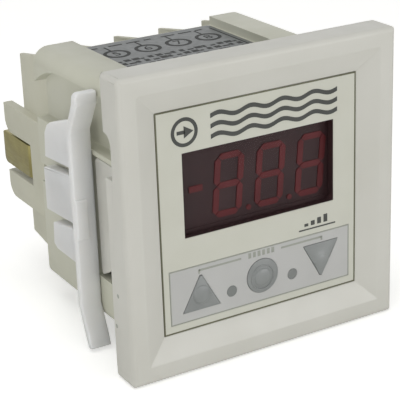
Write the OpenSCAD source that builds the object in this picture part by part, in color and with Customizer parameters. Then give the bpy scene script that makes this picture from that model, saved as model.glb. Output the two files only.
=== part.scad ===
// Panel-mounted display unit of a digital flow switch.
// The face looks along -Y, Z is up and Y = 0 is the back of the bezel, which seats on the panel.

/* [Bezel] */
// Width and height of the square face
face_w = 60; // [58:0.5:66]
// Depth of the bezel, from its rim to the panel seat
bezel_d = 6.6; // [6.2:0.1:8]
// Width of the flat rim
rim_w = 3.6; // [2.5:0.1:4.2]
// Side of the sunk square panel
sunk_w = 44; // [43.5:0.1:46]
// Depth of the sunk panel below the rim
sunk_d = 2; // [1.6:0.1:2.4]
// Radius of the rim's outer edge
edge_r = 1.1; // [0.6:0.1:1.5]
// Radius of the square face's corners
corner_r = 1; // [0.6:0.1:1.4]
// Depth of the seat for the housing in the bezel's back
seat_d = 0.5; // [0.3:0.1:0.8]
// Thickness of the moulded wall behind the front sheet
front_t = 1.4; // [1.1:0.1:1.6]
// Thickness of the printed front sheet
sheet_t = 0.3; // [0.2:0.05:0.4]
// Gap round the front sheet
sheet_gap = 0.25; // [0.1:0.05:0.4]
// Height of the pry notch in the bezel's side
notch_h = 8.6; // [7:0.2:10]
// Depth of the pry notch
notch_d = 2.6; // [1.8:0.1:3]
// Height of the pry notch's middle above the centre
notch_z = 14.7; // [13:0.1:16]

/* [Display] */
// Width of the display window
window_w = 33.4; // [32.8:0.1:34]
// Height of the display window
window_h = 16.6; // [16:0.1:17]
// Height of the window's middle above the centre
window_z = 5.1; // [4.8:0.1:5.6]
// Height of a digit
digit_h = 12.6; // [11.5:0.1:13]
// Width of a digit
digit_w = 6.4; // [5.8:0.1:6.8]
// Distance between neighbouring digits
digit_pitch = 9.3; // [9:0.05:9.5]
// Width of one light segment
segment_w = 1.25; // [1:0.05:1.5]
// Depth of the display module
module_d = 7.8; // [7.4:0.1:8.2]
// Width of the display module
module_w = 36; // [35:0.2:37]
// Length of the minus sign
minus_w = 2.9; // [2.4:0.1:3.2]

/* [Keys] */
// Width of the key field
field_w = 40.9; // [40.4:0.1:41.4]
// Height of the key field
field_h = 11.1; // [10.8:0.1:11.4]
// Height of the key field's middle above the centre
field_z = -14.75; // [-15:0.05:-14.5]
// Distance from the middle key to each outer key
key_pitch = 13.7; // [13.4:0.1:14]
// Width of a triangular key
arrow_w = 8; // [7.4:0.1:8.2]
// Height of a triangular key
arrow_h = 6.9; // [6.5:0.1:7.1]
// Diameter of the round key
round_key = 7; // [6.6:0.1:7.4]
// Diameter of the dome on each key
dome_w = 4; // [3.4:0.1:4.4]
// Travel of a key
key_travel = 0.4; // [0.2:0.05:0.5]
// Diameter of the two lamps in the key field
lamp_w = 2.2; // [1.8:0.1:2.6]
// Distance from the middle to each lamp
lamp_x = 6.95; // [6.8:0.05:7.1]

/* [Housing] */
// Width of the housing
body_w = 50.4; // [49.6:0.1:51.4]
// Height of the housing
body_h = 49.6; // [49:0.1:51]
// Depth of the housing behind the panel seat
body_d = 40; // [39:0.5:44]
// Thickness of the housing's walls
wall = 2; // [1.8:0.05:2.2]
// Radius of the long upper edges
rail_r = 3.4; // [2.5:0.1:4]
// Radius of the long lower edges
foot_r = 2.2; // [1.5:0.1:3]
// Width of the sunk strip on top that carries the label
label_w = 32.4; // [30:0.2:34]
// Depth of the sunk strip
label_d = 1.85; // [1.4:0.05:2.2]
// Thickness of the roof under the strip
roof_t = 1.4; // [1.2:0.1:1.6]
// Depth of the recess in each side
side_d = 2.6; // [2.2:0.1:2.8]
// Height of the shelf below the side recess
shelf_z = 10.4; // [9.8:0.1:11]
// Height of the eave above the side recess
eave_z = 21.8; // [21:0.1:22.2]
// Radius of the arch at the rear of the eave
eave_r = 20.3; // [19:0.1:24]

/* [Front arms] */
// Length of the arms that hold the bezel on the housing
arm_l = 14.5; // [13:0.1:15.2]
// Thickness of an arm
arm_t = 1.5; // [1.2:0.05:1.6]
// Top of an arm
arm_top = 9.1; // [8.4:0.1:9.2]
// Bottom of an arm, where it leaves the bezel
arm_low = -13; // [-13.4:0.1:-12.4]
// Height of the hook below an arm's rear end
hook_h = 2.2; // [1.6:0.1:2.3]

/* [Mounting brackets] */
// Height of a bracket
leg_h = 52.5; // [50:0.5:54]
// Height of a bracket's middle above the centre
leg_z = -3.1; // [-3.6:0.1:-2.6]
// Width of a bracket's leg
leg_w = 4.4; // [3.8:0.1:4.6]
// Thickness of a bracket's leg
leg_t = 1.7; // [1.4:0.1:2]
// Distance from the panel seat to the leg, as the bracket stands
leg_y = 14.6; // [14.2:0.1:15.4]
// Distance by which the leg's ends lean towards the panel
leg_lean = 3.6; // [3:0.1:4.2]
// Length of each leaning end
lean_h = 7.4; // [6.8:0.1:8.4]
// Distance from the leg to the end of the clamp
clamp_l = 16; // [15:0.2:17]
// Thickness of the clamp's lobes
lobe_t = 2.6; // [2:0.1:3]
// Height of the slit between the two lobes, at the leg
slit_h = 0.7; // [0.5:0.1:1]
// Height of the lower lobe at its free end
low_lobe_h = 5.6; // [5:0.1:6]
// Height of the guide groove's middle above the centre
guide_z = -1.5; // [-1.8:0.1:-1.2]
// Height of the guide groove's mouth
guide_neck = 4; // [3.6:0.1:4.4]
// Height of the guide groove's wider floor
guide_head = 6.8; // [6.4:0.1:7.2]
// Length of the tongue that runs in the groove
tongue_l = 5; // [4:0.2:6]
// Pitch of the ratchet teeth
tooth_p = 1.6; // [1.4:0.1:2]

/* [Terminals] */
// Width between the outer faces of the upper barriers
block_w = 45.2; // [44.6:0.1:46]
// Distance from the panel seat to the barriers' rear edge
barrier_y = 52.8; // [52:0.2:55]
// Thickness of a barrier
barrier_t = 1; // [0.8:0.1:1.4]
// Top of a barrier's rear edge
barrier_top = 20.4; // [19.8:0.1:20.8]
// Bottom of a barrier's rear edge
barrier_low = -19.6; // [-20:0.1:-19]
// Distance from the panel seat to the end plates' rear edge
plate_y = 59.6; // [58.4:0.2:61]
// Thickness of an end plate
plate_t = 1.9; // [1.6:0.1:2.2]
// Top of the middle tier
tier_top = 8.4; // [8:0.1:9]
// Bottom of the middle tier
tier_low = -12.7; // [-13.2:0.1:-12.2]
// Distance from the panel seat to the lower terminals
lower_y = 47; // [46.4:0.1:48]
// Distance from the panel seat to the upper terminals
upper_y = 45; // [44.6:0.1:46]
// Height of a terminal
term_h = 7.2; // [6.8:0.1:7.6]
// Thickness of the terminals' brass sheet
brass_t = 1.2; // [1:0.05:1.3]
// Length of a lower terminal's cheeks
lower_l = 14.3; // [13:0.1:15]
// Length of an upper terminal's cheeks
upper_l = 7; // [6.4:0.1:7.6]
// Height of the lower terminals' middle above the centre
lower_z = -2; // [-2.2:0.1:-1.8]
// Height of the upper terminals' middle above the centre
upper_z = 14.2; // [13.8:0.1:14.6]
// Diameter of the terminal screws
screw_w = 3; // [2.6:0.1:3.4]

/* [Boards] */
// Thickness of the circuit boards
board_t = 1.6; // [1.2:0.1:1.8]
// Distance from the main board to the rear of the housing
rear_room = 12; // [11:0.5:13]
// Diameter of the pillars that carry the boards
pillar_w = 3.4; // [3:0.1:4]
// Distance from the middle to each pillar
pillar_x = 17.4; // [17:0.1:18]
// Height of the upper pillars above the centre
pillar_top = 17.8; // [17.4:0.1:18]
// Height of the lower pillars above the centre
pillar_low = -7.4; // [-7.6:0.1:-7.2]
// Diameter of the board screws
pin_w = 1.6; // [1.2:0.1:1.8]
// Side of the controller chip
chip_w = 10; // [8:0.5:11]
// Thickness of the controller chip
chip_t = 1.4; // [1:0.1:1.8]
// Diameter of the smoothing capacitor
can_w = 8; // [6.5:0.5:9]
// Length of the smoothing capacitor
can_l = 11; // [9:0.5:12]
// Width of an output transistor
transistor_w = 4.5; // [4:0.1:5]
// Width of the plug link between the boards
link_w = 20; // [16:1:22]
// Height of the plug link
link_h = 2.4; // [2:0.1:2.8]

/* [Fits] */
// Gap between parts that slide on each other
run_gap = 0.08; // [0.05:0.01:0.1]
// Gap between parts that are fixed together
fit_gap = 0.1; // [0.05:0.01:0.15]
// Gap between the bracket's leg and the housing
side_gap = 0.2; // [0.15:0.01:0.3]

/* [Hidden] */
$fn = 48;
face_y = -bezel_d + sunk_d;
wall_y = face_y + sheet_t;
back_y = wall_y + front_t;
half_w = body_w / 2;
half_h = body_h / 2;
side_x = half_w - side_d;
floor_z = half_h - wall;
roof_z = half_h - label_d - roof_t;
sleeve_x = half_w - wall - fit_gap;
sleeve_t = 1.2;
sleeve_l = 3;
narrow_x = side_x - 1.6;
lens_y = face_y + 0.05;
flange_t = 0.45;
cell_y = back_y + flange_t + 0.05;
board_y = cell_y + segment_t() + module_d;
main_y = body_d - rear_room;
board_top = roof_z - sleeve_t - 2 * fit_gap;
key_t = 0.8;
key_proud = 0.15;
switch_w = 6;
switch_h = 3.4;
stem_w = 3.4;
plunger_y = board_y - switch_h - 1.25;
window_low = arm_low - hook_h - 0.6;
window_top = shelf_z - 1;
window_d = arm_l + 1.5;
guide_start = window_d + 1.4;
groove_x = half_w - 1.2;
leg_x = half_w + side_gap;
tongue_y = leg_y + leg_t + clamp_l - tongue_l;
slope = 0.17;
upper_pitch = (block_w - barrier_t) / 4;
plate_x = block_w / 2;
lower_out = plate_x + plate_t - 0.1;
lower_pitch = (2 * lower_out + barrier_t + 0.8) / 4;
lower_w = lower_pitch - barrier_t - 0.8;
upper_w = upper_pitch - barrier_t - 0.8;
pin_t = 1;
head_w = 2 * screw_w;
head_h = 2;
washer_t = 0.8;
key_names = ["up", "set", "down"];

function segment_t() = 0.2;
function key_x(i) = (i - 1) * key_pitch;
function upper_x(i) = (i - 1.5) * upper_pitch;
function lower_x(i) = (i - 1.5) * lower_pitch;
function lower_pin_x(i) = lower_x(i) * 0.93;
function pin_z(z) = z - term_h / 2 + pin_t / 2 + 0.4;

// A slab that lies in the XZ plane, from y to y + d
module slab(y, d) {
    translate([0, y + d, 0]) rotate([90, 0, 0]) linear_extrude(height = d) children();
}

// A plate that lies in the YZ plane, from x to x + t, drawn as (y, z)
module plate(x, t) {
    translate([x, 0, 0]) rotate([90, 0, 90]) linear_extrude(height = t) children();
}

// A rod along Y, from y to y + l
module rod(y, l, d) {
    translate([0, y + l, 0]) rotate([90, 0, 0]) cylinder(h = l, d = d);
}

module both_sides() {
    children();
    mirror([1, 0, 0]) children();
}

// A rectangle from one corner to the other
module span(a, b) {
    translate(a) square(b - a);
}

// What a rounded corner at the origin takes off a square one, on the side (sx, sy)
module corner(r, sx, sy) {
    scale([sx, sy]) translate([-r, -r]) difference() {
        square(r + 1);
        circle(r);
    }
}

// A rectangle round the origin with one radius above and one below
module rounded(w, h, top, low) {
    difference() {
        square([w, h], center = true);
        for (s = [-1, 1]) {
            translate([s * w / 2, h / 2]) corner(top, s, 1);
            translate([s * w / 2, -h / 2]) corner(low, s, -1);
        }
    }
}

// The inner section of the housing with half-width x, smaller by a gap
module room(x, gap) {
    span([-x, gap - floor_z], [x, roof_z - gap]);
}

// The outer section of the housing, larger by a gap
module body_outline(gap) {
    difference() {
        rounded(body_w + 2 * gap, body_h + 2 * gap, rail_r + gap, foot_r + gap);
        translate([gap - label_w / 2, half_h - label_d + gap]) square([label_w - 2 * gap, label_d + 1]);
    }
}

// The bezel

module bezel_profile() {
    difference() {
        span([-bezel_d, -face_w / 2], [0, face_w / 2]);
        for (s = [-1, 1]) translate([-bezel_d, s * face_w / 2]) corner(edge_r, -1, s);
    }
}

module bezel_block() {
    intersection() {
        plate(-face_w / 2, face_w) bezel_profile();
        translate([0, 0, -face_w / 2]) linear_extrude(height = face_w)
            rotate(90) bezel_profile();
        slab(-bezel_d - 1, bezel_d + 2) rounded(face_w, face_w, corner_r, corner_r);
    }
}

module sunk_profile() {
    rim = face_w / 2 - rim_w;
    polygon([
        [-bezel_d - 1, rim], [-bezel_d, rim], [face_y, sunk_w / 2], [wall_y, sunk_w / 2],
        [wall_y, -sunk_w / 2], [face_y, -sunk_w / 2], [-bezel_d, -rim], [-bezel_d - 1, -rim]
    ]);
}

module sunk_panel() {
    intersection() {
        plate(-face_w / 2, face_w) sunk_profile();
        translate([0, 0, -face_w / 2]) linear_extrude(height = face_w)
            rotate(90) sunk_profile();
    }
}

module pry_notch() {
    top = notch_z + notch_h / 2;
    low = notch_z - notch_h / 2;
    plate(half_w + 1, face_w) {
        difference() {
            span([-notch_d, low], [1, top]);
            translate([-notch_d, top]) corner(notch_d - 0.4, -1, 1);
        }
    }
}

module arm() {
    plate(sleeve_x + fit_gap + 0.3, arm_t) difference() {
        union() {
            span([-seat_d - 0.5, arm_low], [arm_l, arm_top]);
            polygon([
                [10, arm_low + 1], [10, arm_low - 0.1], [arm_l - 0.6, arm_low - hook_h],
                [arm_l, arm_low - hook_h + 0.6], [arm_l, arm_low + 1]
            ]);
        }
        translate([arm_l, arm_top]) corner(1.2, 1, 1);
    }
}

module pillar_places() {
    for (x = [-1, 1], z = [pillar_top, pillar_low]) translate([x * pillar_x, 0, z]) children();
}

module front_case() {
    color("#d6d5cb") difference() {
        union() {
            difference() {
                bezel_block();
                sunk_panel();
                slab(back_y, 1 - back_y) room(sleeve_x - sleeve_t, fit_gap + sleeve_t);
                slab(-seat_d, seat_d + 1) body_outline(fit_gap);
            }
            slab(-seat_d - 0.5, sleeve_l + seat_d + 0.5) difference() {
                room(sleeve_x, fit_gap);
                room(sleeve_x - sleeve_t, fit_gap + sleeve_t);
            }
            both_sides() arm();
            pillar_places() rod(back_y - 0.2, board_y - back_y + 0.2, pillar_w);
        }
        slab(wall_y - 1, front_t + 2) window_outline(fit_gap / 2);
        for (i = [0 : 2]) slab(wall_y - 1, front_t + 2) key_outline(i, run_gap);
        for (s = [-1, 1]) translate([s * lamp_x, 0, lamp_z()]) rod(wall_y - 1, front_t + 2, lamp_w + fit_gap);
        both_sides() pry_notch();
        pillar_places() rod(board_y - 6, 7, pin_w);
    }
}

// The front sheet, the window and the key field

module window_outline(gap) {
    translate([0, window_z]) square([window_w + 2 * gap, window_h + 2 * gap], center = true);
}

function lamp_z() = field_z - 1.75;

module front_sheet() {
    w = sunk_w - 2 * sheet_gap;
    color("#cdccc0") slab(face_y, sheet_t) difference() {
        square(w, center = true);
        window_outline(fit_gap / 2);
        translate([0, field_z]) square([field_w + fit_gap, field_h + fit_gap], center = true);
    }
}

module key_film() {
    color("#bfc2c1") slab(face_y, sheet_t) difference() {
        translate([0, field_z]) square([field_w, field_h], center = true);
        for (i = [0 : 2]) key_outline(i, run_gap);
        for (s = [-1, 1]) translate([s * lamp_x, lamp_z()]) circle(d = lamp_w + fit_gap);
    }
}

module window_lens() {
    color("#2a1012") union() {
        slab(lens_y, back_y - lens_y + 0.1) window_outline(0);
        slab(back_y, flange_t) window_outline(0.8);
    }
}

// The keys: an arrow up, a round key and an arrow down

module arrow(gap) {
    low = -arrow_h / 2 - 0.15 - gap;
    top = arrow_h / 2 - 0.15 + 2 * gap;
    half = arrow_w / 2 + 1.7 * gap;
    flat = 0.25;
    polygon([[-half, low], [half, low], [half - flat * 0.2, low + flat], [flat, top], [-flat, top],
             [-half + flat * 0.2, low + flat]]);
}

module key_outline(i, gap) {
    translate([key_x(i), field_z]) {
        if (i == 0) arrow(gap);
        if (i == 1) translate([0, -0.25]) circle(d = round_key + 2 * gap);
        if (i == 2) translate([0, -0.3]) rotate(180) arrow(gap);
    }
}

module dome() {
    rise = 0.45;
    r = (dome_w * dome_w / 4 + rise * rise) / (2 * rise);
    translate([0, face_y - key_proud, 0]) intersection() {
        translate([0, r - rise, 0]) sphere(r = r, $fn = 96);
        rod(-rise - 1, rise + 1.3, dome_w);
    }
}

module key(i) {
    seat = back_y + run_gap;
    color("#8f9391") union() {
        slab(face_y - key_proud, seat + 0.2 - face_y + key_proud) key_outline(i, 0);
        slab(seat, key_t) key_outline(i, 0.4);
        intersection() {
            translate([key_x(i), 0, field_z - 0.55]) dome();
            slab(face_y - 2, 4) key_outline(i, -0.1);
        }
        translate([key_x(i), 0, field_z - 0.55])
            rod(seat + key_t - 0.1, plunger_y - seat - key_t + 0.1, stem_w);
    }
}

module switch_body(i) {
    color("#3a3b3c") translate([key_x(i), 0, field_z - 0.55]) difference() {
        slab(board_y - switch_h, switch_h) square(switch_w, center = true);
        rod(board_y - switch_h - 1, switch_h, stem_w + 2 * run_gap);
    }
}

module plunger(i) {
    color("#d8d8d2") translate([key_x(i), 0, field_z - 0.55])
        rod(plunger_y, board_y - plunger_y - 1 - key_travel - 0.1, stem_w);
}

module light_pipe(s) {
    color("#b9bcba") translate([s * lamp_x, 0, lamp_z()]) union() {
        rod(face_y, board_y - 1.2 - face_y, lamp_w);
        rod(back_y, 0.8, lamp_w + 1);
    }
}

module lamp(s) {
    color("#c8452f") translate([s * lamp_x, 0, lamp_z()])
        slab(board_y - 0.8, 0.8) square([2, 1.25], center = true);
}

// The display: a filled block with three digits, a minus sign and two points

module digit_segment(w, h) {
    polygon([[-w / 2, 0], [-w / 2 + h / 2, h / 2], [w / 2 - h / 2, h / 2], [w / 2, 0],
             [w / 2 - h / 2, -h / 2], [-w / 2 + h / 2, -h / 2]]);
}

module digit() {
    gap = 0.2;
    across = digit_w - segment_w;
    rise = (digit_h - segment_w) / 2;
    lean = tan(5);
    for (k = [-1, 0, 1]) translate([k * rise * lean, k * rise]) digit_segment(across - gap, segment_w);
    for (s = [-1, 1], k = [-0.5, 0.5])
        translate([s * across / 2 + k * rise * lean, k * rise])
            rotate(85) digit_segment(rise - gap, segment_w);
}

module display_segments() {
    x0 = 3.6;
    color("#5e161b") slab(cell_y, segment_t()) translate([x0, window_z - 0.6]) {
        for (k = [-1 : 1]) translate([k * digit_pitch, 0]) digit();
        translate([0.05 - digit_pitch - digit_w / 2 - minus_w / 2 - 2.5, 0.6])
            square([minus_w, segment_w], center = true);
        for (k = [0, 1]) translate([(k - 0.5) * digit_pitch - 0.3, -digit_h / 2 + 0.6]) circle(d = 1.1);
    }
}

module display_module() {
    color("#1c1b1d") slab(cell_y + segment_t(), module_d)
        translate([0.3, window_z]) square([module_w, window_h - 0.6], center = true);
}

// The boards and what they carry

module board_outline() {
    difference() {
        room(narrow_x - 0.3, sleeve_t + 2 * fit_gap);
        for (x = [-1, 1], z = [pillar_top, pillar_low]) translate([x * pillar_x, z]) circle(d = pin_w + fit_gap);
    }
}

module front_board() {
    color("#2f6b45") slab(board_y, board_t) board_outline();
}

module board_pillars() {
    color("#b9a15c") pillar_places() difference() {
        rod(board_y + board_t, main_y - board_y - board_t, pillar_w);
        rod(board_y + board_t - 1, 7, pin_w + fit_gap);
        rod(main_y - 5, 6, pin_w + fit_gap);
    }
}

module board_screws() {
    color("#9a9a98") pillar_places() {
        rod(board_y - 5, board_t + 9, pin_w);
        union() {
            rod(main_y - 4, board_t + 4.1, pin_w);
            rod(main_y + board_t, 1.2, 2 * pin_w);
        }
    }
}

module board_link() {
    l = main_y - board_y - board_t;
    color("#202022") slab(board_y + board_t, l) translate([0, board_top - link_h])
        square([link_w, link_h], center = true);
}

module pin_slot(gap) {
    square([2 + 2 * gap, pin_t + 2 * gap], center = true);
}

module main_board() {
    color("#2f6b45") slab(main_y, board_t) difference() {
        board_outline();
        for (i = [0 : 3]) {
            translate([upper_x(i), pin_z(upper_z)]) pin_slot(fit_gap);
            translate([lower_pin_x(i), pin_z(lower_z)]) pin_slot(fit_gap);
        }
    }
}

module controller_chip() {
    middle = (pin_z(upper_z) + pin_z(lower_z)) / 2;
    color("#1a1a1c") slab(main_y - chip_t, chip_t) translate([-chip_w * 0.6, middle]) square(chip_w, center = true);
}

module smoothing_capacitor() {
    color("#33373d") translate([can_w * 1.1, 0, 1.2 * can_w - floor_z]) rod(main_y - can_l, can_l, can_w);
}

module output_transistors() {
    low = sleeve_t + 3 - floor_z;
    color("#222224") both_sides() slab(main_y + board_t, transistor_w / 3)
        translate([transistor_w * 0.9, low + transistor_w / 3])
            square([transistor_w, transistor_w * 0.58], center = true);
}

// The housing

module recess_profile() {
    arch_y = body_d - 12;
    difference() {
        span([-1, shelf_z], [body_d + 1, eave_z]);
        difference() {
            span([arch_y, 0], [body_d + 2, eave_z + 1]);
            translate([arch_y, eave_z - eave_r]) circle(eave_r, $fn = 144);
        }
    }
}

module guide_groove() {
    slab(guide_start, body_d) {
        translate([0, guide_z]) span([groove_x - 0.1, -guide_neck / 2], [half_w + 1, guide_neck / 2]);
        translate([0, guide_z]) span([side_x, -guide_head / 2], [groove_x, guide_head / 2]);
    }
}

module ratchet() {
    teeth = floor((body_d - guide_start - 3) / tooth_p);
    translate([0, 0, guide_z - 1.5]) linear_extrude(height = 3)
        for (k = [0 : teeth - 1]) translate([side_x, guide_start + 1 + k * tooth_p])
            polygon([[0.1, 0], [-0.5, 0], [0.1, tooth_p * 0.7]]);
}

module cavity() {
    x = half_w - wall;
    boss = guide_head / 2 + 1.8;
    slab(-1, sleeve_l + 1.2) room(x, 0);
    slab(-1, body_d + 2) room(narrow_x, 0);
    slab(-1, window_d + 1.2) span([-x, -floor_z], [x, window_top - 1]);
    slab(-1, body_d + 2) span([-x, -floor_z], [x, guide_z - boss]);
}

module housing() {
    color("#c9c8bd") difference() {
        slab(-seat_d, body_d + seat_d) body_outline(0);
        cavity();
        both_sides() {
            plate(side_x, side_d + 1) recess_profile();
            plate(narrow_x + 0.1, side_d + 2) span([-1, window_low], [window_d, window_top]);
            guide_groove();
            ratchet();
        }
    }
}

// The terminal block

module tier_profile() {
    polygon([
        [body_d, barrier_top - 0.3], [upper_y, barrier_top - 0.3], [upper_y, tier_top],
        [barrier_y, tier_top], [barrier_y, tier_top - 1.5], [lower_y, tier_top - 1.5],
        [lower_y, tier_low + 1.5], [barrier_y, tier_low + 1.5], [barrier_y, tier_low],
        [upper_y, tier_low], [upper_y, barrier_low + 0.3], [body_d, barrier_low + 0.3]
    ]);
}

module upper_barrier_profile() {
    rise = slope * (barrier_y - body_d);
    polygon([[body_d, tier_top - 1], [barrier_y, tier_top - 1], [barrier_y, barrier_top], [body_d, barrier_top + rise]]);
    polygon([[body_d, tier_low + 1], [barrier_y, tier_low + 1], [barrier_y, barrier_low], [body_d, barrier_low - rise]]);
}

module end_profile(front) {
    difference() {
        span([front, tier_low], [plate_y, tier_top]);
        translate([plate_y, tier_low]) corner(3, 1, -1);
    }
}

module end_notch() {
    low = lower_z - term_h / 2 - 1.4;
    top = lower_z + term_h / 2 + 0.5;
    r = 2.9;
    span([lower_y - 0.3, low], [plate_y + 1, top]);
    translate([plate_y - r, top - 0.1]) difference() {
        square([r + 1, r + 0.1]);
        translate([0, r + 0.1]) circle(r);
    }
}

module terminal_block() {
    color("#c6c5b8") difference() {
        union() {
            slab(body_d - 2.5, 2.6) room(narrow_x - 0.2, 0.2);
            plate(-plate_x, block_w) tier_profile();
            for (i = [-2 : 2]) plate(i * upper_pitch - barrier_t / 2, barrier_t) upper_barrier_profile();
            for (i = [-1 : 1]) plate(i * lower_pitch - barrier_t / 2, barrier_t) end_profile(lower_y - 0.5);
            both_sides() plate(plate_x - 0.2, plate_t + 0.2) difference() {
                end_profile(body_d);
                end_notch();
            }
        }
        for (i = [0 : 3]) {
            translate([upper_x(i), 0, pin_z(upper_z)]) slab(body_d - 4, upper_y - body_d + 5) pin_slot(fit_gap);
            translate([lower_pin_x(i), 0, pin_z(lower_z)]) slab(body_d - 4, lower_y - body_d + 5) pin_slot(fit_gap);
            translate([upper_x(i), 0, upper_z]) rod(upper_y - 3.5, 4, screw_w + 2 * fit_gap);
            translate([lower_x(i), 0, lower_z]) rod(lower_y - 3.5, 4, screw_w + 2 * fit_gap);
        }
    }
}

// A terminal: a brass strip bent to a U, with a soldering pin on its front
module terminal(x, pin_x, y, z, w, l) {
    r = 1.6;
    color("#8d8350") intersection() {
        union() {
            translate([x, y, z - term_h / 2]) linear_extrude(height = term_h) difference() {
                translate([-w / 2, 0]) square([w, l]);
                translate([-w / 2, 0]) corner(r, -1, -1);
                translate([w / 2, 0]) corner(r, 1, -1);
                translate([0, brass_t]) translate([-w / 2 + brass_t, 0]) square([w - 2 * brass_t, l]);
            }
            translate([pin_x, 0, pin_z(z)]) slab(main_y - 0.6, y - main_y + 0.9) pin_slot(0);
        }
        plate(x - w, 2 * w) difference() {
            span([main_y - 2, z - term_h / 2], [y + l, z + term_h / 2]);
            translate([y + l, z - term_h / 2]) corner(1.4, 1, -1);
            translate([y + l, z + term_h / 2]) corner(0.6, 1, 1);
        }
        terminal_room(x, y, z, w, l);
    }
}

// The space that a terminal fills, less its screw hole
module terminal_room(x, y, z, w, l) {
    difference() {
        translate([x - w, main_y - 2, z - term_h]) cube([2 * w, y + l - main_y + 4, 2 * term_h]);
        translate([x, 0, z]) rod(y - 1, brass_t + 2, screw_w + fit_gap);
    }
}

module upper_terminal(i) {
    terminal(upper_x(i), upper_x(i), upper_y, upper_z, upper_w, upper_l);
}

module lower_terminal(i) {
    terminal(lower_x(i), lower_pin_x(i), lower_y, lower_z, lower_w, lower_l);
}

module screw_places() {
    for (i = [0 : 3]) {
        translate([upper_x(i), upper_y + brass_t, upper_z]) children();
        translate([lower_x(i), lower_y + brass_t, lower_z]) children();
    }
}

module terminal_washers() {
    w = min(term_h, upper_w - 2 * brass_t) - 0.4;
    color("#b9b8b2") screw_places() difference() {
        slab(0, washer_t) square(w, center = true);
        rod(-1, washer_t + 2, screw_w + fit_gap);
    }
}

module terminal_screws() {
    color("#a5a49f") screw_places() {
        rod(-brass_t - 3, brass_t + 3 + washer_t + 0.1, screw_w);
        rod(washer_t, head_h, head_w - 0.4);
    }
}

// The brackets: a springy leg that bears on the panel, and a clamp that runs along the housing

module leg_profile() {
    top = leg_z + leg_h / 2;
    low = leg_z - leg_h / 2;
    pad = 2.4;
    polygon([
        [leg_y - leg_lean, top], [leg_y - leg_lean, top - pad], [leg_y, top - pad - lean_h + 1.4],
        [leg_y, low + lean_h + 0.6], [leg_y - leg_lean + 1, low + pad - 0.4], [leg_y - leg_lean + 0.4, low],
        [leg_y - leg_lean + leg_t, low - 0.3], [leg_y - leg_lean + leg_t + 1.3, low + pad],
        [leg_y + leg_t, low + lean_h + 0.8], [leg_y + leg_t, top - pad - lean_h + 1.6],
        [leg_y - leg_lean + leg_t + 0.6, top - pad], [leg_y - leg_lean + leg_t, top]
    ]);
}

module lobe_profile() {
    y0 = leg_y + leg_t - 0.4;
    y1 = leg_y + leg_t + clamp_l;
    difference() {
        polygon([
            [y0, leg_z + 19.8], [y0 + 3.8, leg_z + 18.7], [y1 - 4.6, leg_z + 16.1], [y1 - 2.9, leg_z + 15.1],
            [y1 - 1.6, leg_z + 13.2], [y1 - 1.2, leg_z + 8.6], [y1, leg_z + 5.4],
            [y1, leg_z - 3.6], [y0, leg_z - 2.5]
        ]);
        hull() {
            translate([y0 + 4.2, leg_z + 8]) circle(0.8, $fn = 32);
            translate([y1 + 1, leg_z + 6.6]) circle(1.2, $fn = 32);
        }
    }
    low_top = leg_z - 2.5 - slit_h;
    y2 = y1 - 2.7;
    polygon([
        [y0, low_top], [y2, low_top - 2.3], [y2 + 0.4, low_top - 1.5 - low_lobe_h],
        [y2 - 1.2, low_top - 2.3 - low_lobe_h], [y0, low_top - 2.4 - low_lobe_h]
    ]);
}

module tongue() {
    neck = guide_neck / 2 - run_gap;
    head = guide_head / 2 - run_gap;
    slab(tongue_y, tongue_l) translate([0, guide_z]) {
        span([groove_x - run_gap - 0.4, -neck], [leg_x + 0.4, neck]);
        span([side_x + run_gap, -head], [groove_x - run_gap, head]);
    }
}

module leg_outline() {
    low = leg_z - leg_h / 2 - 2;
    r = 1;
    difference() {
        span([leg_x, low], [leg_x + leg_w, leg_z + leg_h / 2]);
        translate([leg_x + leg_w, leg_z + leg_h / 2]) corner(r, 1, 1);
    }
}

module bracket() {
    color("#d9dadd") union() {
        intersection() {
            plate(leg_x, leg_w) leg_profile();
            slab(0, leg_y + 10) leg_outline();
        }
        plate(leg_x, lobe_t) lobe_profile();
        translate([leg_x + leg_w - 2.5, leg_y - 0.6, leg_z - 4]) cube([2.5, 1, 8.2]);
        tongue();
    }
}

front_case();
front_sheet();
key_film();
window_lens();
for (i = [0 : 2]) {
    key(i);
    switch_body(i);
    plunger(i);
}
light_pipe(-1);  // light_pipe_left
light_pipe(1);  // light_pipe_right
lamp(-1);  // lamp_left
lamp(1);  // lamp_right
display_module();
display_segments();
front_board();
board_screws();
board_pillars();
board_link();
main_board();
controller_chip();
smoothing_capacitor();
output_transistors();
housing();
terminal_block();
for (i = [0 : 3]) {
    upper_terminal(i);
    lower_terminal(i);
}
terminal_washers();
terminal_screws();
mirror([1, 0, 0]) bracket();  // bracket_left
bracket();  // bracket_right
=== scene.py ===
"""Looks of a digital flow switch's panel-mounted display unit.

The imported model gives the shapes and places. This script rounds the moulded edges as a tool
leaves them, adds the printing, the label, the screws and the small marks, gives every surface
its finish, and sets up the studio and the camera. Sizes of pieces are in millimetres.
"""
import logging
import math
from dataclasses import dataclass, field
from enum import Enum
from functools import cache
from typing import Iterable, Optional, Sequence, Union

import bpy
from mathutils import Matrix, Vector


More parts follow.
